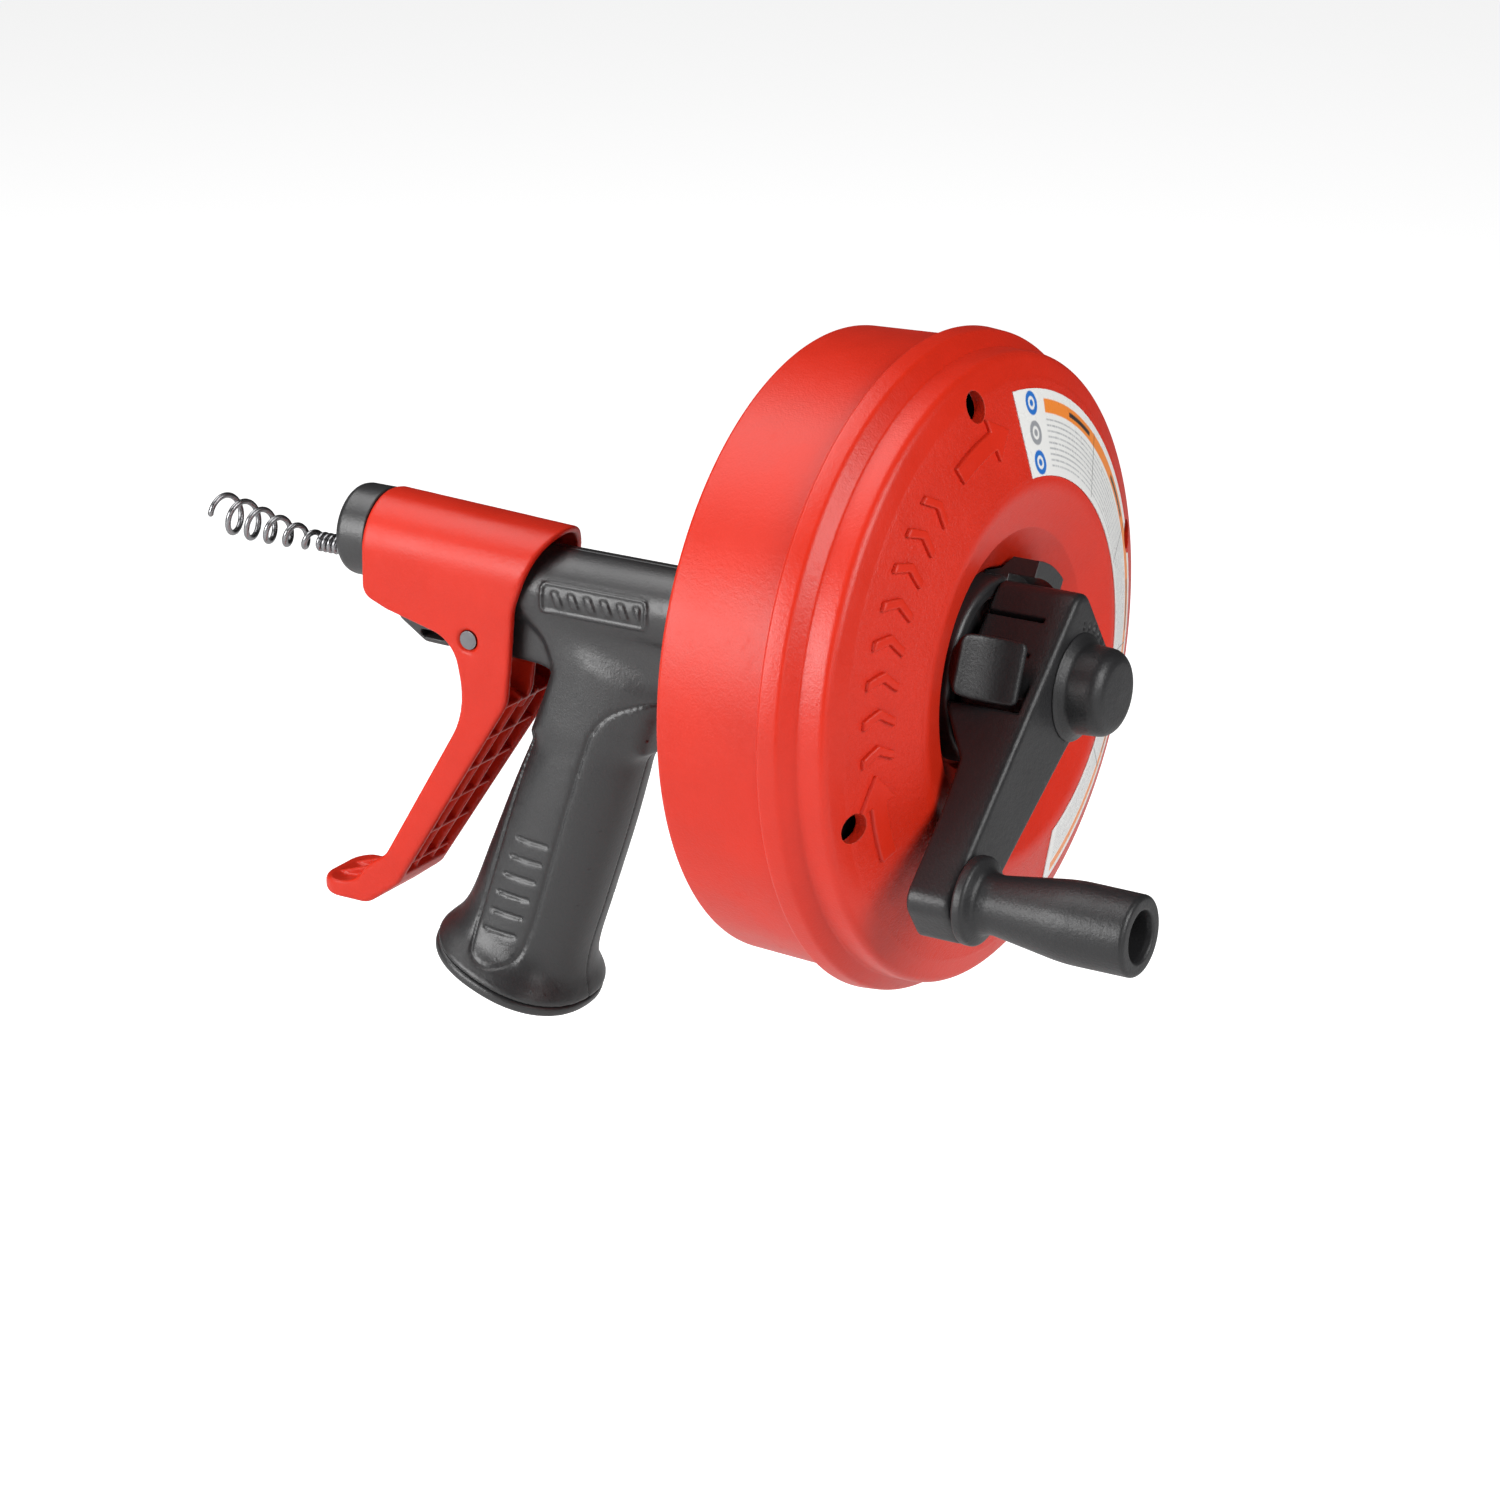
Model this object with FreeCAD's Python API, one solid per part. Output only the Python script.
import FreeCAD, Part
import math
import os

# Hand-held drain snake: a drum of spring cable turned by a crank, with a pistol grip and an
# autofeed trigger. Millimetres. The X axis is the drum and cable axis, +X points to the crank
# and -X out of the nose, +Z is up. The origin is on the axis at the drum's front face.

# Cable
CABLE_R = 3.3
CABLE_FRONT_X = -187.0
CABLE_REAR_X = 32.0
AUGER_TIP_X = -228.0
AUGER_WIRE_R = 0.95
AUGER_TURNS = 5.5
AUGER_END_R = 5.6
AUGER_RISE = 4.0
STORED_TURNS = 6
STORED_PITCH = 7.0
STORED_LAYERS = (78.6, 71.8)

# Drum
DRUM_FRONT_R = 94.3
DRUM_SEAM_R = 95.4
DRUM_SEAM_X = 36.0
TONGUE = 6.0
SKIRT_R = 99.0
RIM_R = 93.8
WALL = 3.0
FIT_GAP = 0.25
FACE_OUTER = (57.2, 88.0)
FACE_INNER = (67.4, 57.0)
RECESS_RIM = (63.5, 43.5)
RECESS_R = 29.4
RECESS_FLOOR_X = 48.0
DRAIN_HOLE_R = 4.5
DRAIN_PITCH_R = 85.0
DRAIN_ANGLES = (13.5, 100, 195, 281.5)
COVER_SCREW_PITCH_R = 87.3
COVER_SCREW_ANGLES = (30, 90, 150, 210, 270, 330)
LABEL_R = (59.2, 83.5)
LABEL_ANGLES = (-69, 86)
LABEL_T = 0.3
CARRIER_R = 28.0
LUG_ANGLES = (57, 290)
LUG_HALF = 9.0
LUG_INNER = 29.0
LUG_OUTER = 34.0
LUG_X = 66.5

# Spindle that the drum turns on
SPINDLE_R = 9.0
SPINDLE_BORE_R = 4.6
HUB_R = 17.0
BUSH_R = 11.0
RUN = 0.06

# Barrel, keel and grip
BARREL_R = 13.5
BARREL_FRONT_X = -150.0
BARREL_REAR_X = 4.0
SHELL_WALL = 2.6
KEEL_HALF = 11.0
NECK_HALF = 12.3
GRIP_TOP = (-72.0, -22.0)
GRIP_LEAN = 21.1
GRIP_SECTIONS = ((0, 17.5, 12.0), (14, 17.3, 13.6), (30, 18.6, 15.8), (50, 20.0, 17.0),
                 (75, 21.0, 17.3), (96, 21.7, 17.6), (103, 23.0, 19.5), (108, 25.6, 23.2),
                 (112, 27.2, 26.3))
BASE_CAP_T = 4.3
GRIP_SCREWS = ((-85.5, -58.0), (-97.0, -92.0), (-62.0, -24.0), (-131.0, -17.0))

# Trigger
PIVOT = (-118.7, -16.7)
PIN_R = 3.0
PIN_RECESS_R = 3.75
PIN_RECESS = 0.6
SPRING_X = -124.0
SPRING_R = 4.0
TRIGGER_HALF = 16.8
TRIGGER_WALL = 2.4
SLEEVE_X = (-158.2, -91.2)
SLEEVE_CENTRE = (-124.7, 4.35)
SLEEVE_TILT = 2.4
LEVER_BOTTOM_HALF = 13.0
LEVER_LEAN = math.radians(33.1)
RIB_COUNT = 5
RIB_PITCH = 15.0
RIB_START = (-109.7, -45.3)
RIB_T = 1.6
RING_CENTRE_Z = 7.3
RING_R = 14.7
RING_X = (-170.4, -159.2)
RING_BORE_R = 11.2

# Feed rollers
ROLLER_X = -139.0
ROLLER_SKEW = 12.0
LOWER_ROLLER_R = 3.4
UPPER_ROLLER_R = 4.5
UPPER_ROLLER_Z = 10.75
ROLLER_LENGTH = 8.0
ROLLER_AXLE_R = 1.25
LOWER_ROLLER_ANGLE = 60.0
EAR_T = 1.8

# Crank
ARM_REAR_X = 85.0
ARM_END_T = 14.4
HUB_FRONT_X = 58.5
HUB_END_R = 20.0
HUB_SOLID_R = 22.5
HUB_SIDE_N = 20.5
ARM_SIDE_N = (-23.4, -7.0)
ARM_STRAIGHT_N = 11.9
ARM_END_R = 10.0
HANDLE_AT = (-64.5, -43.5)
HEX_FLATS = 11.0
HEX_SOCKET_FLATS = 11.4
KNOB_R = 12.9
BOLT_R = 3.5
NUT_FLATS = 11.0
TAB_ANGLE = 158.0
TAB_TRAVEL = 2.5
TAB_T = 4.4
TAB_SLOT_T = 5.0
TAB_SLOT_X = {1: 62.0, -1: 67.0}
PAD_INNER = 25.6
PAD_OUTER = 37.0
PAD_X = (58.6, 79.5)
PAD_HALF = 9.4
SCOOP_R = 17.5
SCOOP_AT = (80.0, 45.0)

AXIS_X = FreeCAD.Vector(1, 0, 0)
AXIS_Y = FreeCAD.Vector(0, 1, 0)
AXIS_Z = FreeCAD.Vector(0, 0, 1)
ORIGIN = FreeCAD.Vector(0, 0, 0)


def vec(x, y, z):
    return FreeCAD.Vector(x, y, z)


def side(a, b):
    """A point of a side-view outline: X and Z."""
    return vec(a, 0, b)


def rear(a, b):
    """A point of a rear-view outline: Y and Z."""
    return vec(0, a, b)


def rod_x(radius, x0, x1, y=0.0, z=0.0):
    return Part.makeCylinder(radius, x1 - x0, vec(x0, y, z), AXIS_X)


def rod_y(radius, y0, y1, x, z):
    return Part.makeCylinder(radius, y1 - y0, vec(x, y0, z), AXIS_Y)


def rod_z(radius, z0, z1, x, y=0.0):
    return Part.makeCylinder(radius, z1 - z0, vec(x, y, z0), AXIS_Z)


def tube_x(outer, inner, x0, x1):
    return rod_x(outer, x0, x1).cut(rod_x(inner, x0 - 1, x1 + 1))


def block(x, y, z):
    """A box from three (low, high) pairs."""
    return Part.makeBox(x[1] - x[0], y[1] - y[0], z[1] - z[0], vec(x[0], y[0], z[0]))


def outline(corners, place):
    """A closed wire through (a, b) or (a, b, radius) corners, with arcs at the rounded ones."""
    count = len(corners)
    starts, ends, middles = [], [], []
    for i, corner in enumerate(corners):
        here = place(corner[0], corner[1])
        before = place(*corners[i - 1][:2]).sub(here)
        after = place(*corners[(i + 1) % count][:2]).sub(here)
        radius = corner[2] if len(corner) > 2 else 0.0
        if not radius:
            starts.append(here)
            ends.append(here)
            middles.append(None)
            continue
        before.normalize()
        after.normalize()
        half = before.getAngle(after) / 2
        bisector = before.add(after).normalize()
        reach = radius / math.tan(half)
        centre = here.add(bisector * (radius / math.sin(half)))
        starts.append(here.add(before * reach))
        ends.append(here.add(after * reach))
        middles.append(centre.sub(bisector * radius))
    edges = []
    for i in range(count):
        if middles[i] is not None:
            edges.append(Part.Arc(starts[i], middles[i], ends[i]).toShape())
        following = starts[(i + 1) % count]
        if ends[i].distanceToPoint(following) > 1e-6:
            edges.append(Part.LineSegment(ends[i], following).toShape())
    return Part.Wire(edges)


def turned(corners, y=0.0, z=0.0):
    """The solid swept by an (x, radius) outline round a line along X."""
    solid = Part.Face(outline(corners, side)).revolve(ORIGIN, AXIS_X, 360)
    solid.translate(vec(0, y, z))
    return solid


def prism_y(corners, half):
    """A side-view outline given thickness from -half to +half across Y."""
    face = Part.Face(outline(corners, side))
    face.translate(vec(0, -half, 0))
    return face.extrude(vec(0, 2 * half, 0))


def prism_z(corners, half):
    """A prism along Z, from -half to half, over an outline in the XY plane."""
    face = outline(corners, lambda a, b: vec(a, b, -half))
    return Part.Face(face).extrude(vec(0, 0, 2 * half))


def prism_x(corners, x0, x1):
    """A rear-view outline given thickness along X."""
    face = Part.Face(outline(corners, rear))
    face.translate(vec(x0, 0, 0))
    return face.extrude(vec(x1 - x0, 0, 0))


def rods_of(radius, x0, x1, pitch_r, angles):
    """Rods along X on a circle round the X axis, with angles from +Y towards +Z."""
    rods = []
    for angle in angles:
        a = math.radians(angle)
        rods.append(rod_x(radius, x0, x1, pitch_r * math.cos(a), pitch_r * math.sin(a)))
    return rods


def joined(shapes):
    return shapes[0].multiFuse(shapes[1:]) if len(shapes) > 1 else shapes[0]


def hexagon(flats, x0, x1, y=0.0, z=0.0):
    corner_r = flats / math.sqrt(3)
    corners = []
    for k in range(6):
        a = math.radians(60 * k)
        corners.append((y + corner_r * math.cos(a), z + corner_r * math.sin(a)))
    return prism_x(corners, x0, x1)


def swept(path, radius, start, direction):
    """A round bar along a path edge."""
    circle = Part.Wire(Part.makeCircle(radius, start, direction))
    return Part.Wire(path).makePipeShell([circle], True, False)


def coil_x(radius, pitch, turns, x0, wire_r):
    """A helical bar round the X axis that starts at x0."""
    helix = Part.makeHelix(pitch, pitch * turns, radius)
    helix.rotate(ORIGIN, AXIS_Y, 90)
    helix.translate(vec(x0, 0, 0))
    edge = helix.Edges[0]
    return swept(edge, wire_r, edge.valueAt(edge.FirstParameter),
                 edge.tangentAt(edge.FirstParameter))


# ---------------------------------------------------------------- cable

def cable_lead():
    """The straight run of cable through spindle, guide, rollers and nose."""
    return rod_x(CABLE_R, CABLE_FRONT_X, CABLE_REAR_X)


def auger_point(turn):
    """Centre line of the open hook coil at the cable's end, counted in turns."""
    share = turn / AUGER_TURNS
    radius = CABLE_R - AUGER_WIRE_R + (AUGER_END_R - CABLE_R + AUGER_WIRE_R) * min(1.0, 1.35 * share)
    x = CABLE_FRONT_X - 0.6 + (AUGER_TIP_X - CABLE_FRONT_X + 2.0) * share
    a = 2 * math.pi * turn
    return vec(x, radius * math.cos(a), AUGER_RISE * share ** 1.5 + radius * math.sin(a))


def auger_tip():
    steps = int(AUGER_TURNS * 10)
    points = [auger_point(AUGER_TURNS * k / steps) for k in range(steps + 1)]
    curve = Part.BSplineCurve()
    curve.interpolate(points)
    return swept(curve.toShape(), AUGER_WIRE_R, points[0], curve.tangent(curve.FirstParameter)[0])


def stored_cable():
    """Two layers of wound cable in the drum and the bend that leads to the spindle."""
    layers = [coil_x(r, STORED_PITCH, STORED_TURNS, 8.0, CABLE_R) for r in STORED_LAYERS]
    bend = Part.BSplineCurve()
    bend.interpolate([vec(38.6, 4.5, 3.0), vec(39.0, 16, 12), vec(37.5, 30, 26), vec(30.0, 32, 50)])
    start = bend.value(bend.FirstParameter)
    layers.append(swept(bend.toShape(), CABLE_R, start, bend.tangent(bend.FirstParameter)[0]))
    return Part.makeCompound(layers)


# ---------------------------------------------------------------- drum

def drum_front_shell():
    """Front half of the drum: dished front wall, conical side wall, hub tube and screw posts."""
    shell = turned([
        (6, BUSH_R), (6, 34, 3), (0, 44, 3), (0, DRUM_FRONT_R - 0.1, 1.2),
        (DRUM_SEAM_X, DRUM_SEAM_R), (DRUM_SEAM_X + TONGUE, DRUM_SEAM_R),
        (DRUM_SEAM_X + TONGUE, DRUM_SEAM_R - WALL), (DRUM_SEAM_X, DRUM_SEAM_R - WALL),
        (WALL, DRUM_FRONT_R - WALL, 1.5), (WALL, 45.2, 3), (9, 35.2, 3), (9, HUB_R),
        (26, HUB_R), (26, BUSH_R)])
    posts = rods_of(3.8, 1.5, 36.0, COVER_SCREW_PITCH_R, COVER_SCREW_ANGLES)
    holes = rods_of(1.9, -1, 40, COVER_SCREW_PITCH_R, COVER_SCREW_ANGLES)
    sinks = rods_of(3.1, -1, 2.6, COVER_SCREW_PITCH_R, COVER_SCREW_ANGLES)
    shell = joined([shell] + posts)
    return shell.cut(joined(holes)).cut(joined(sinks))


def face_x(radius):
    """X of the cover's conical face at a radius."""
    share = (radius - FACE_OUTER[1]) / (FACE_INNER[1] - FACE_OUTER[1])
    return FACE_OUTER[0] + share * (FACE_INNER[0] - FACE_OUTER[0])


def drum_rear_cover():
    """Rear half of the drum: skirt over the front shell, groove, conical face and hand recess."""
    inner_skirt = DRUM_SEAM_R + FIT_GAP
    lip_x = DRUM_SEAM_X + TONGUE + 0.4
    cover = turned([
        (DRUM_SEAM_X, inner_skirt), (DRUM_SEAM_X, SKIRT_R, 1.0), (42.5, SKIRT_R - 0.6, 2.5),
        (46.0, RIM_R, 1.2), (54.6, RIM_R, 2.0), FACE_OUTER + (3.0,), FACE_INNER + (7.0,),
        RECESS_RIM + (1.5,), (53.5, RECESS_R + 0.8, 3.0), (RECESS_FLOOR_X, RECESS_R, 1.0),
        (RECESS_FLOOR_X, 12.0), (RECESS_FLOOR_X - WALL, 12.0),
        (RECESS_FLOOR_X - WALL, RECESS_R + 2.2, 2.0), (50.6, RECESS_R + 3.6, 3.0),
        (RECESS_RIM[0] - 3.2, RECESS_RIM[1] + 2.3, 4.0), (FACE_INNER[0] - 3.2, 57.0, 5.0),
        (FACE_OUTER[0] - 3.2, 86.5, 1.5),
        (51.8, 90.6, 1.5), (lip_x, 90.8, 1.5), (lip_x, inner_skirt)])
    bosses = rods_of(3.6, 36.3, 56.0, COVER_SCREW_PITCH_R - 0.4, COVER_SCREW_ANGLES)
    holes = rods_of(1.8, 35, 52.6, COVER_SCREW_PITCH_R, COVER_SCREW_ANGLES)
    drains = rods_of(DRAIN_HOLE_R, 50, 75, DRAIN_PITCH_R, DRAIN_ANGLES)
    inside = turned([(35, 0), (35, 91), (54, 91), FACE_OUTER, FACE_INNER, (60, 0)])
    bosses = [boss.common(inside) for boss in bosses]
    return joined([cover] + bosses).cut(joined(holes)).cut(joined(drains))


def drum_label():
    """The thin information label on the +Y half of the conical face."""
    inner, outer = LABEL_R
    band = turned([(face_x(inner) + 0.05, inner), (face_x(outer) + 0.05, outer),
                   (face_x(outer) + 0.05 + LABEL_T, outer), (face_x(inner) + 0.05 + LABEL_T, inner)])
    low, high = (math.radians(a) for a in LABEL_ANGLES)
    far = 260.0
    wedge = prism_x([(0, 0), (far * math.cos(low), far * math.sin(low)), (far, 0),
                     (far * math.cos(high), far * math.sin(high))], 50, 80)
    holes = rods_of(DRAIN_HOLE_R + 1.2, 50, 75, DRAIN_PITCH_R, DRAIN_ANGLES)
    return band.common(wedge).cut(joined(holes))


def cover_screws():
    heads = rods_of(2.9, 0.6, 2.5, COVER_SCREW_PITCH_R, COVER_SCREW_ANGLES)
    shanks = rods_of(1.7, 2.5, 52.5, COVER_SCREW_PITCH_R, COVER_SCREW_ANGLES)
    return Part.makeCompound([head.fuse(shank) for head, shank in zip(heads, shanks)])


def drum_bush():
    """Plain bearing pressed in the drum's hub tube, turning on the spindle."""
    return tube_x(BUSH_R - 0.02, SPINDLE_R + RUN, 6.0, 26.0)


def drum_hub():
    """Black carrier in the recess: thick disc with two drive lugs standing at its edge."""
    disc = turned([(48.3, 7.6), (48.3, CARRIER_R, 1.0), (57.8, CARRIER_R, 1.5), (57.8, 24.0, 1.0),
                   (55.0, 22.0, 1.5), (55.0, 15.0, 1.0), (56.5, 13.5, 1.0), (56.5, 7.6)])
    ring = rod_x(LUG_OUTER, 47, 72).cut(rod_x(LUG_INNER, 58, 73))
    room = turned([(49, 0), (49, 28.4), (55.0, 30.2), (58.6, 35.0), (72, 35.0), (72, 0)])
    pieces = [disc]
    for angle in LUG_ANGLES:
        lug = block((50.0, LUG_X), (20, 40), (-LUG_HALF, LUG_HALF)).common(ring).common(room)
        lug.rotate(ORIGIN, AXIS_X, angle)
        pieces.append(lug)
    return joined(pieces)


def drive_shaft():
    """Steel shaft in the drum's hub; its hexagon takes the crank or a drill chuck."""
    shaft = rod_x(11.8, 45.6, 48.0).fuse(rod_x(7.5, 43.0, 60.0))
    shaft = shaft.fuse(rod_x(11.2, 43.0, 46.0))
    bar = hexagon(HEX_FLATS, 59.0, 83.0).common(
        turned([(59, 0), (59, 8), (80, 8), (83, 5.2), (83, 0)]))
    groove = rod_x(9, 68.0, 71.0).cut(rod_x(5.0, 67, 72))
    return shaft.fuse(bar).cut(groove)


def shaft_nut():
    """Flat nut that clamps the hub and the cover on the shaft."""
    return hexagon(21.0, 56.7, 60.5).cut(rod_x(7.6, 56, 62))


# ---------------------------------------------------------------- spindle

def spindle():
    """Hollow steel spindle clamped in the barrel; the cable runs through it."""
    body = rod_x(SPINDLE_R, -40, 34).fuse(rod_x(10.6, -30, -26))
    body = body.cut(rod_x(SPINDLE_BORE_R, -41, 35))
    groove = rod_x(12, 27.7, 28.9).cut(rod_x(8.3, 27, 30))
    mouth = turned([(30.5, 0), (30.5, SPINDLE_BORE_R), (34.1, 7.6), (34.1, 0)])
    return body.cut(groove).cut(mouth)


def thrust_washers():
    front = tube_x(15.5, SPINDLE_R + 0.1, 4.25, 5.8)
    back = tube_x(15.5, SPINDLE_R + 0.1, 26.2, 27.6)
    return Part.makeCompound([front, back])


def retaining_ring():
    ring = rod_x(12.0, 27.8, 28.8).cut(rod_x(8.35, 27, 30))
    return ring.cut(block((27, 30), (-3, 3), (-13, -6)))


def cable_guide_tube():
    """Tube that keeps the cable straight between spindle and rollers."""
    return tube_x(6.0, 4.4, -124.0, -43.0)


# ---------------------------------------------------------------- grip body

def grip_wire(distance, depth, width):
    """Elliptical grip section, square to the grip's axis, at a distance down it."""
    lean = math.radians(GRIP_LEAN)
    down = vec(-math.sin(lean), 0, -math.cos(lean))
    along = vec(math.cos(lean), 0, -math.sin(lean))
    centre = vec(GRIP_TOP[0], 0, GRIP_TOP[1]).add(down * distance)
    major, minor = (depth, width) if depth >= width else (width, depth)
    first = along if depth >= width else AXIS_Y
    second = AXIS_Y if depth >= width else along
    ellipse = Part.Ellipse(centre.add(first * major), centre.add(second * minor), centre)
    return Part.Wire(ellipse.toShape())


def grip_loft(inset, extra=0.0):
    wires = [grip_wire(s, a - inset, b - inset) for s, a, b in GRIP_SECTIONS]
    if extra:
        last = GRIP_SECTIONS[-1]
        wires.append(grip_wire(last[0] + extra, last[1] - inset, last[2] - inset))
    return Part.makeLoft(wires, True, True)


def keel(inset):
    corners = [(-151.0 + inset, -6), (-149.5 + inset, -16.5 + inset), (-139.0, -22.8 + inset, 2),
               (-131.0, -22.8 + inset, 2), (-127.0, -21.4 + inset), (-96.0, -22.5 + inset),
               (-90.0, -6)]
    return prism_y(corners, KEEL_HALF - inset)


def neck(inset):
    """Saddle between barrel and grip, with the thumb web behind and the finger nook in front."""
    corners = [(-104.0 + inset, 0), (-104.0 + inset, -22.8 + inset, 1.5),
               (-96.0 + inset, -24.0 + inset, 3), (-94.0 + inset, -38), (-96.0 + inset, -48),
               (-61.0 - inset, -48), (-57.0 - inset, -32, 12), (-36.0 - inset, -10), (-34.0, 0)]
    return prism_y(corners, NECK_HALF - inset)


def body_form(inset):
    barrel = rod_x(BARREL_R - inset, BARREL_FRONT_X, BARREL_REAR_X)
    return joined([barrel, keel(inset), neck(inset), grip_loft(inset, 2.0 if inset else 0.0)])


def body_bosses(y0, y1, radius):
    return [rod_y(radius, y0, y1, x, z) for x, z in GRIP_SCREWS]


def body_whole():
    """Both body mouldings in one piece: hollow, with sockets, webs and screw bosses."""
    outer = body_form(0.0)
    shell = outer.cut(body_form(SHELL_WALL))
    socket = rod_x(BARREL_R - 1, -42.0, BARREL_REAR_X)
    webs = [rod_x(BARREL_R - 1, x, x + 3.0) for x in (-122.0, -84.0, -49.0)]
    front = rod_x(BARREL_R - 1, BARREL_FRONT_X, BARREL_FRONT_X + 3.0)
    bosses = body_bosses(-16, 16, 4.6)
    pin_boss = rod_y(6.0, -KEEL_HALF, KEEL_HALF, *PIVOT)
    roller_block = block((ROLLER_X - 6.5, ROLLER_X + 6.5), (-10.5, 10.5), (-11.5, -1.0)).common(
        rod_x(BARREL_R - 1, -150, -130))
    extra = joined([socket, front, pin_boss, roller_block] + webs + bosses).common(outer)
    whole = shell.fuse(extra)
    cuts = [rod_x(SPINDLE_R + 0.02, -40.1, 20), rod_x(10.65, -30.1, -25.9),
            rod_x(6.05, -124.2, -42.9), rod_x(4.6, -160, -30),
            block((BARREL_FRONT_X - 1, ROLLER_X + 8.5), (-7.5, 7.5), (2.0, 20)),
            rod_y(PIN_R + 0.02, -30, 30, *PIVOT), rod_z(SPRING_R + 1.2, 12.0, 20, SPRING_X)]
    cuts += body_bosses(-9.0, 0.0, 1.75) + body_bosses(-0.1, 9.1, 2.1) + body_bosses(9.0, 40.0, 3.9)
    cuts += [roller_pocket(sign) for sign in (-1, 1)]
    return whole.cut(joined(cuts))


def body_half(sign):
    whole = body_whole()
    low, high = (0, 60) if sign > 0 else (-60, 0)
    return whole.common(block((-260, 60), (low, high), (-200, 60)))


def body_screws():
    screws = []
    for x, z in GRIP_SCREWS:
        head = rod_y(3.6, 9.05, 11.4, x, z)
        screws.append(head.fuse(rod_y(1.7, -8.5, 9.2, x, z)))
    return Part.makeCompound(screws)


def grip_base_cap():
    """Flared foot plate that closes the grip."""
    last = GRIP_SECTIONS[-1]
    plate = Part.makeLoft([grip_wire(last[0] + 0.2, last[1], last[2]),
                           grip_wire(last[0] + BASE_CAP_T - 0.9, last[1], last[2]),
                           grip_wire(last[0] + BASE_CAP_T, last[1] - 1.2, last[2] - 1.2)], True, True)
    inner = SHELL_WALL + 0.3
    plug = Part.makeLoft([grip_wire(last[0] - 2.5, last[1] - inner - 2.4, last[2] - inner - 2.4),
                          grip_wire(last[0] + 0.4, last[1] - inner - 0.4, last[2] - inner - 0.4)], True)
    return plate.fuse(plug)


def pivot_pin():
    return rod_y(PIN_R, -TRIGGER_HALF + 0.3, TRIGGER_HALF - 0.3, *PIVOT)


def trigger_spring():
    """Coil spring between the barrel's seat and the sleeve, drawn at its squeezed length."""
    helix = Part.makeHelix(1.5, 3.6, SPRING_R)
    helix.translate(vec(SPRING_X, 0, 12.6))
    edge = helix.Edges[0]
    return swept(edge, 0.5, edge.valueAt(edge.FirstParameter), edge.tangentAt(edge.FirstParameter))


# ---------------------------------------------------------------- feed rollers

def lower_roller_frame(sign):
    """Centre and axis direction of a lower roller: beside the cable and skewed to it."""
    a = math.radians(LOWER_ROLLER_ANGLE)
    reach = CABLE_R + LOWER_ROLLER_R + 0.15
    centre = vec(ROLLER_X, sign * reach * math.sin(a), -reach * math.cos(a))
    radial = vec(0, sign * math.sin(a), -math.cos(a))
    axis = FreeCAD.Rotation(radial, -ROLLER_SKEW).multVec(AXIS_X)
    return centre, axis


def bar_at(centre, axis, radius, length):
    return Part.makeCylinder(radius, length, centre.sub(axis * (length / 2)), axis)


def lower_roller(sign):
    centre, axis = lower_roller_frame(sign)
    roller = bar_at(centre, axis, LOWER_ROLLER_R, ROLLER_LENGTH)
    return roller.cut(bar_at(centre, axis, ROLLER_AXLE_R + 0.05, ROLLER_LENGTH + 2))


def lower_roller_axles():
    frames = [lower_roller_frame(sign) for sign in (-1, 1)]
    return Part.makeCompound([bar_at(c, a, ROLLER_AXLE_R, 11.4) for c, a in frames])


def roller_pocket(sign):
    """Room for a lower roller and the bore for its axle."""
    centre, axis = lower_roller_frame(sign)
    return bar_at(centre, axis, LOWER_ROLLER_R + 0.35, ROLLER_LENGTH + 0.4).fuse(
        bar_at(centre, axis, ROLLER_AXLE_R + 0.02, 11.6))


def upper_axis():
    return FreeCAD.Rotation(AXIS_Z, ROLLER_SKEW).multVec(AXIS_X)


def upper_roller():
    centre = vec(ROLLER_X, 0, UPPER_ROLLER_Z)
    roller = bar_at(centre, upper_axis(), UPPER_ROLLER_R, ROLLER_LENGTH)
    return roller.cut(bar_at(centre, upper_axis(), ROLLER_AXLE_R + 0.05, ROLLER_LENGTH + 2))


def upper_roller_axle():
    return bar_at(vec(ROLLER_X, 0, UPPER_ROLLER_Z), upper_axis(), ROLLER_AXLE_R, 11.2)


# ---------------------------------------------------------------- trigger

def trigger_form(inset):
    """Cross section of the trigger run along it: tilted round sleeve on top, tapering lever below."""
    half = TRIGGER_HALF - inset
    cx, cz = SLEEVE_CENTRE
    sleeve = rod_x(half, -60, 60)
    sleeve = sleeve.fuse(block((-60, 60), (-half, half), (-18, 0)))
    sleeve.rotate(ORIGIN, AXIS_Y, SLEEVE_TILT)
    sleeve.translate(vec(cx, 0, cz))
    bottom = LEVER_BOTTOM_HALF - inset
    lever = prism_x([(-half, -8), (-half, -25), (-bottom, -108), (-bottom, -125), (bottom, -125),
                     (bottom, -108), (half, -25), (half, -8)], -200, -80)
    return sleeve.fuse(lever)


def trigger_outline():
    front_top, rear_top = 22.6, 19.8
    return [(SLEEVE_X[0], front_top), (SLEEVE_X[0] - 0.6, -9.0, 4), (-150.0, -12.0, 8),
            (-124.5, -18.2, 11), (-120.6, -40.0, 26), (-156.5, -97.5, 8), (-168.0, -104.5, 14),
            (-184.5, -110.5, 2.2), (-185.0, -115.5, 2.0), (-164.0, -115.5, 8), (-151.5, -106.5, 6),
            (-105.3, -36.0, 12), (-103.6, -24.0, 6), (-101.8, -4.0, 14), (-95.0, 13.5, 16),
            (SLEEVE_X[1], rear_top)]


def trigger_cavity():
    return [(-175, 45), (-175, -25), (-120.3, -25), (-118.0, -40.4, 24), (-153.6, -97.2, 4),
            (-149.0, -103.0), (-125.0, -103.0), (-75, -40), (-75, 45)]


def toe_plan():
    """Rounded plan of the finger stop at the lever's tip."""
    return rod_z(LEVER_BOTTOM_HALF + 1.5, -130, -90, -171.0).fuse(
        block((-171.0, -80), (-30, 30), (-130, -90))).fuse(block((-200, -60), (-30, 30), (-100, 60)))


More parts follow.
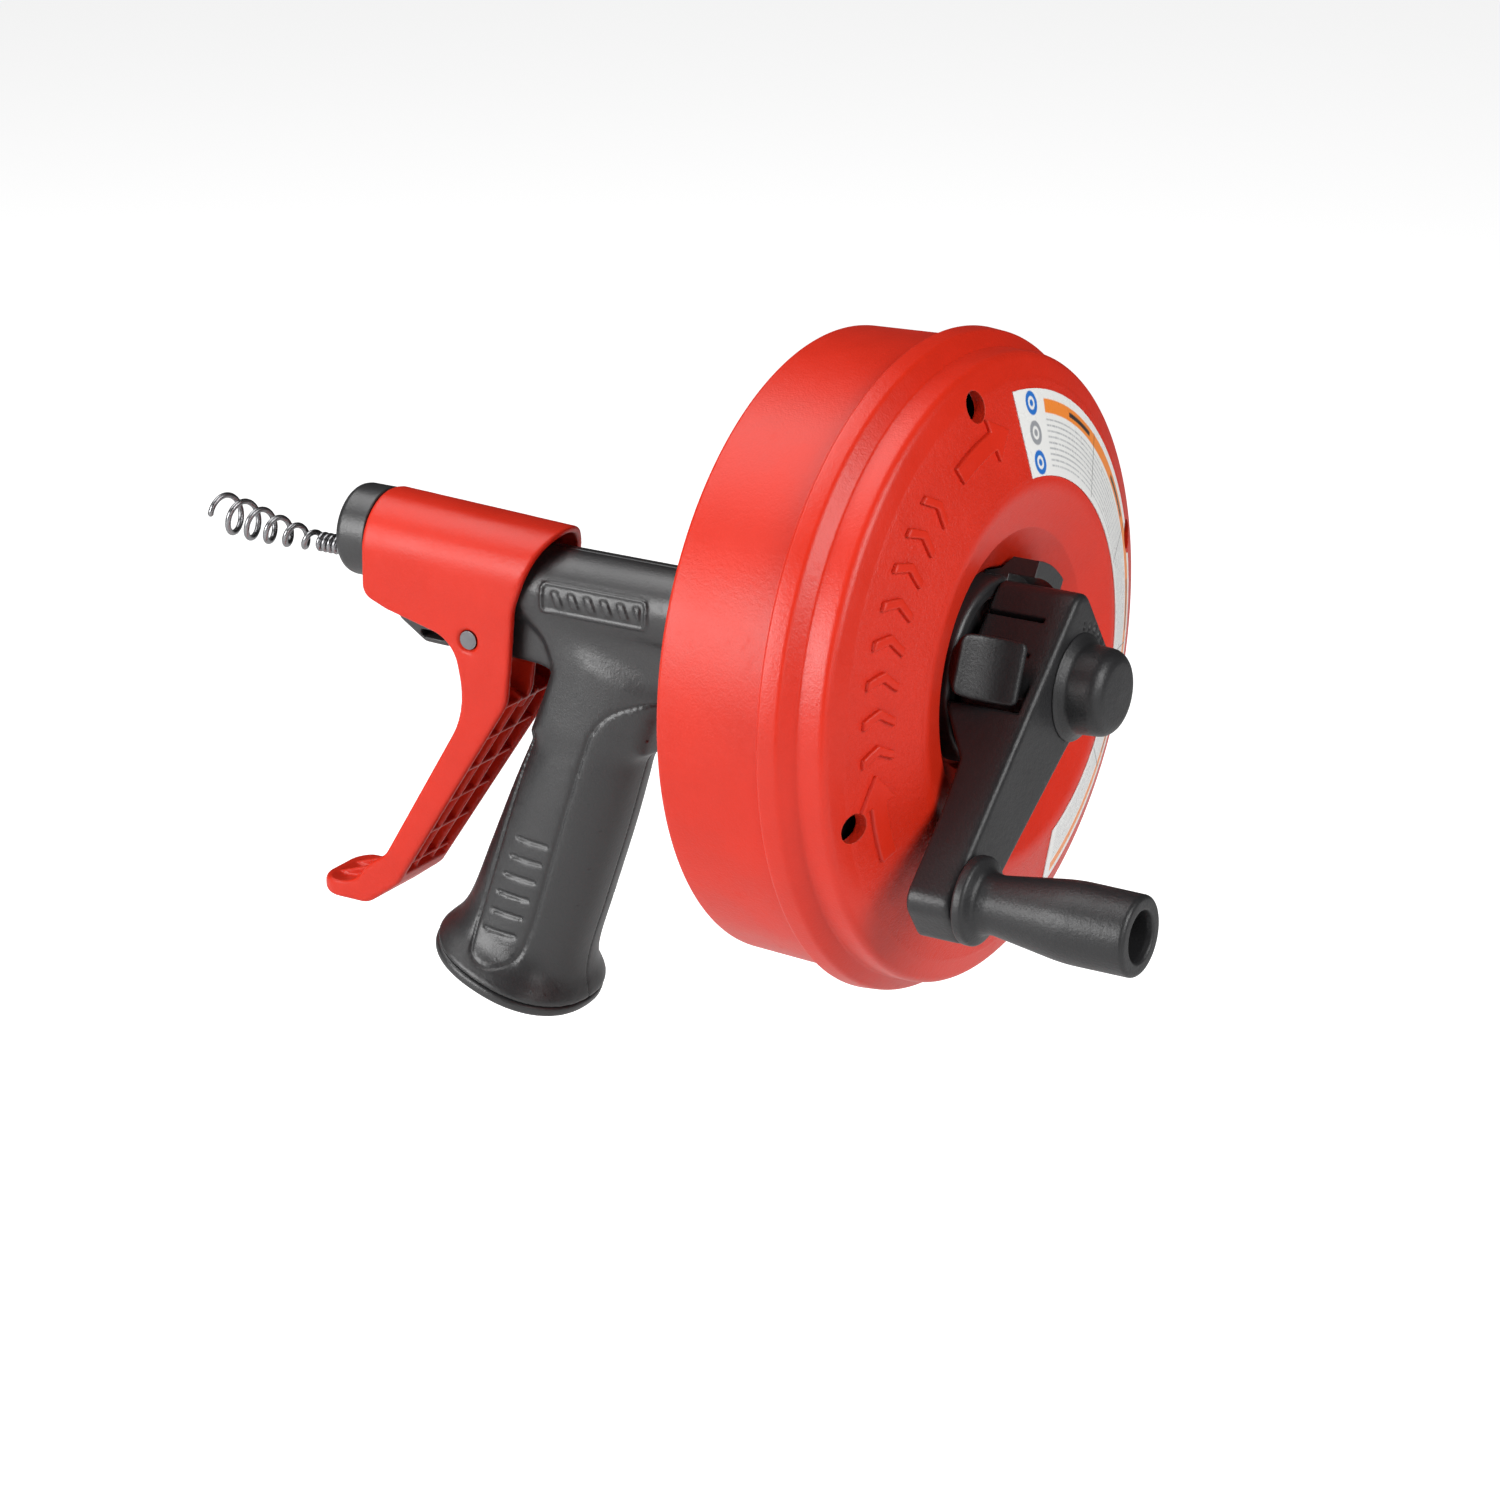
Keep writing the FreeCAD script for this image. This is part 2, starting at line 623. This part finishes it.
def lever_ribs():
    """Cross ribs and a middle rib in the lever's open back."""
    ribs = []
    for k in range(RIB_COUNT):
        down = RIB_PITCH * k
        x = RIB_START[0] - down * math.sin(LEVER_LEAN)
        z = RIB_START[1] - down * math.cos(LEVER_LEAN)
        ribs.append(block((x - 14.0, x), (-16, 16), (z - RIB_T / 2, z + RIB_T / 2)))
    middle = prism_y([(-121.0, -27), (-107.0, -27), (-108.0, -37), (-151.0, -102.5),
                      (-156.0, -99.0), (-120.5, -42)], RIB_T / 2)
    return ribs + [middle]


def roller_ears():
    """Two webs inside the sleeve that hold the upper roller's axle."""
    near = ROLLER_LENGTH / 2 + 1.1
    return [block((ROLLER_X + x, ROLLER_X + x + EAR_T), (-6.0, 6.0), (8.3, 25))
            for x in (-near - EAR_T, near)]


def trigger():
    solid = prism_y(trigger_outline(), 40).common(trigger_form(0.0)).common(toe_plan())
    cavity = prism_y(trigger_cavity(), 40).common(trigger_form(TRIGGER_WALL))
    inside = [piece.common(trigger_form(TRIGGER_WALL - 0.6)) for piece in roller_ears()]
    ribs = [piece.common(trigger_form(TRIGGER_WALL - 0.6)).common(prism_y(trigger_outline(), 40))
            for piece in lever_ribs()]
    solid = joined([solid.cut(cavity)] + inside + ribs)
    bores = [rod_y(PIN_R + RUN, -30, 30, *PIVOT),
             bar_at(vec(ROLLER_X, 0, UPPER_ROLLER_Z), upper_axis(), ROLLER_AXLE_R + 0.02, 11.6)]
    for y in (-TRIGGER_HALF, TRIGGER_HALF):
        bores.append(rod_y(PIN_RECESS_R, y - PIN_RECESS, y + PIN_RECESS, *PIVOT))
    return solid.cut(joined(bores))


def nose_ring():
    """Black collar in the sleeve's front end, round the cable outlet."""
    x0, x1 = RING_X
    ring = turned([(x0, RING_BORE_R, 0.6), (x0, RING_R, 2.5), (x1, RING_R, 0.5), (x1, RING_BORE_R)],
                  0, RING_CENTRE_Z)
    spigot = rod_x(14.1, -20, 20).cut(rod_x(11.9, -21, 21))
    spigot.rotate(ORIGIN, AXIS_Y, SLEEVE_TILT)
    spigot.translate(vec(-158.0, 0, SLEEVE_CENTRE[1] + 33.3 * math.tan(math.radians(SLEEVE_TILT))))
    spigot = spigot.common(block((x1 - 0.1, -152.8), (-30, 30), (-30, 40)))
    return ring.fuse(spigot)


# ---------------------------------------------------------------- crank

def arm_frame():
    """Unit directions along and across the crank arm in the YZ plane, and its length."""
    length = math.hypot(*HANDLE_AT)
    along = (HANDLE_AT[0] / length, HANDLE_AT[1] / length)
    return along, (-along[1], along[0]), length


def arm_at(s, n):
    along, across, _ = arm_frame()
    return s * along[0] + n * across[0], s * along[1] + n * across[1]


def arm_outline(inset):
    """Tapered plate: flat side by the thumb tab, round top corner, slimmer towards the handle."""
    top, end = -HUB_END_R + inset, arm_frame()[2] + ARM_END_R - inset
    near, far = ARM_SIDE_N[0] + inset, ARM_SIDE_N[1] + inset
    straight = ARM_STRAIGHT_N - inset
    corners = [(top, near, 6), (end, far, 6), (end, straight, 4), (10.5, straight, 10),
               (0.5, HUB_SIDE_N - inset, 3), (-14.0, HUB_SIDE_N - inset, 9), (top, 6.0, 12)]
    return [arm_at(s, n) + (r,) for s, n, r in corners]


def tab_block(x, u, w, sign):
    """A box placed along a squeeze tab's line of travel: u outwards, w across."""
    shape = block(x, u, w)
    shape.rotate(ORIGIN, AXIS_X, TAB_ANGLE if sign > 0 else TAB_ANGLE + 180)
    return shape


def crank_arm():
    """Crank moulding: deep hub block with the hex socket, thinning towards the handle."""
    solid = prism_x(arm_outline(0.0), HUB_FRONT_X, ARM_REAR_X)
    thin_x = ARM_REAR_X - ARM_END_T
    wedge = prism_y([(20, -60), (HUB_FRONT_X - 0.5, -60), (HUB_FRONT_X - 0.5, 27),
                     (HUB_FRONT_X, 27), (thin_x, 41), (thin_x, 140), (20, 140)], 90)
    wedge.rotate(ORIGIN, AXIS_X, -math.degrees(math.atan2(HANDLE_AT[0], HANDLE_AT[1])))
    solid = solid.cut(wedge)
    pocket = prism_x(arm_outline(3.0), 30, ARM_REAR_X - 4.0)
    keep_hub = rod_x(HUB_SOLID_R, 20, 100)
    boss_end = rod_x(9.0, thin_x, ARM_REAR_X, *HANDLE_AT)
    solid = solid.cut(pocket.cut(keep_hub).cut(boss_end))
    cuts = [hexagon(HEX_SOCKET_FLATS, HUB_FRONT_X - 1, 83.6),
            rod_x(12.6, HUB_FRONT_X - 1, 60.9),
            rod_x(BOLT_R + 0.02, 60, 90, *HANDLE_AT),
            hexagon(NUT_FLATS + 0.1, thin_x - 1, thin_x + 6.5, *HANDLE_AT)]
    pad_seat = PAD_INNER - TAB_TRAVEL - 0.3
    for sign, x0 in TAB_SLOT_X.items():
        cuts.append(tab_block((x0, x0 + TAB_SLOT_T), (-16.6, 40.0), (-9.1, 9.1), sign))
        cuts.append(tab_block((58.0, 81.0), (pad_seat, 60.0), (-11.0, 11.0), sign))
    return solid.cut(joined(cuts))


def squeeze_tab(sign):
    """Sliding latch with a scooped finger pad; its window passes the shaft, its lip is the latch."""
    x0 = TAB_SLOT_X[sign] + (TAB_SLOT_T - TAB_T) / 2
    plate = block((x0, x0 + TAB_T), (-10.6, 30.0), (-8.8, 8.8))
    window = block((x0 - 1, x0 + 6), (-6.6, 9.3), (-6.7, 6.7))
    pad = prism_z([(PAD_X[0], PAD_INNER), (PAD_X[0], PAD_OUTER - 4.0), (PAD_X[0] + 6.0, PAD_OUTER),
                   (PAD_X[1], PAD_OUTER), (PAD_X[1], PAD_INNER)], PAD_HALF)
    scoop = rod_z(SCOOP_R, -30, 30, SCOOP_AT[0], SCOOP_AT[1])
    tab = plate.cut(window).fuse(pad.cut(scoop))
    tab.rotate(ORIGIN, AXIS_X, TAB_ANGLE if sign > 0 else TAB_ANGLE + 180)
    return tab


def tab_springs():
    """Small coil springs behind the tabs, drawn at their squeezed length."""
    springs = []
    for sign, x0 in TAB_SLOT_X.items():
        helix = Part.makeHelix(1.2, 2.4, 1.5)
        helix.rotate(ORIGIN, AXIS_X, -90)
        helix.translate(vec(x0 + TAB_SLOT_T / 2, -16.1, 0))
        edge = helix.Edges[0]
        spring = swept(edge, 0.3, edge.valueAt(edge.FirstParameter),
                       edge.tangentAt(edge.FirstParameter))
        spring.rotate(ORIGIN, AXIS_X, TAB_ANGLE if sign > 0 else TAB_ANGLE + 180)
        springs.append(spring)
    return Part.makeCompound(springs)


def hub_knob():
    """Domed palm knob on the crank's axis, for steadying the crank with the other hand."""
    return turned([(ARM_REAR_X, 0), (ARM_REAR_X, KNOB_R + 2.3), (ARM_REAR_X + 2.2, KNOB_R + 0.3, 2.5),
                   (98.1, KNOB_R - 0.2, 4.5), (98.5, 0)])


def handle_grip():
    """Spinning handle: flange, waist, swelling body and deep bore in its end."""
    y, z = HANDLE_AT
    return turned([(86.1, 3.56), (86.1, 13.0, 1.2), (89.6, 13.0, 1.2), (92.3, 8.3, 3.0),
                   (118.0, 11.95, 60), (139.6, 11.8, 1.6), (139.6, 7.75, 0.8),
                   (98.5, 7.3), (98.5, 3.56)], y, z)


def handle_bolt():
    """Shoulder bolt that the handle turns on."""
    y, z = HANDLE_AT
    bolt = rod_x(BOLT_R, 72.0, 98.8, y, z).fuse(rod_x(6.3, 98.7, 102.5, y, z))
    return bolt.cut(hexagon(4.0, 100.3, 103, y, z))


def handle_washer():
    y, z = HANDLE_AT
    return rod_x(8.0, 85.05, 86.0, y, z).cut(rod_x(BOLT_R + 0.1, 84, 87, y, z))


def handle_nut():
    y, z = HANDLE_AT
    return hexagon(NUT_FLATS, 70.6, 75.8, y, z).cut(rod_x(BOLT_R + 0.02, 70, 77, y, z))


NODES = {
    "body_shell_left": lambda: body_half(-1),
    "body_shell_right": lambda: body_half(1),
    "body_screws": body_screws,
    "grip_base_cap": grip_base_cap,
    "pivot_pin": pivot_pin,
    "trigger_spring": trigger_spring,
    "spindle": spindle,
    "thrust_washers": thrust_washers,
    "retaining_ring": retaining_ring,
    "cable_guide_tube": cable_guide_tube,
    "lower_roller_axles": lower_roller_axles,
    "lower_roller_left": lambda: lower_roller(-1),
    "lower_roller_right": lambda: lower_roller(1),
    "upper_roller": upper_roller,
    "upper_roller_axle": upper_roller_axle,
    "trigger": trigger,
    "nose_ring": nose_ring,
    "drum_front_shell": drum_front_shell,
    "drum_rear_cover": drum_rear_cover,
    "drum_label": drum_label,
    "cover_screws": cover_screws,
    "drum_bush": drum_bush,
    "drum_hub": drum_hub,
    "drive_shaft": drive_shaft,
    "shaft_nut": shaft_nut,
    "stored_cable": stored_cable,
    "cable_lead": cable_lead,
    "auger_tip": auger_tip,
    "crank_arm": crank_arm,
    "hub_knob": hub_knob,
    "squeeze_tab_left": lambda: squeeze_tab(1),
    "squeeze_tab_right": lambda: squeeze_tab(-1),
    "tab_springs": tab_springs,
    "handle_grip": handle_grip,
    "handle_bolt": handle_bolt,
    "handle_washer": handle_washer,
    "handle_nut": handle_nut,
}

os.makedirs("parts", exist_ok=True)
for name, make in NODES.items():
    shape = make()
    if not shape.isValid():
        print("invalid shape:", name)
    print(name, len(shape.Solids), round(shape.Volume, 1))
    shape.exportStep("parts/" + name + ".step")
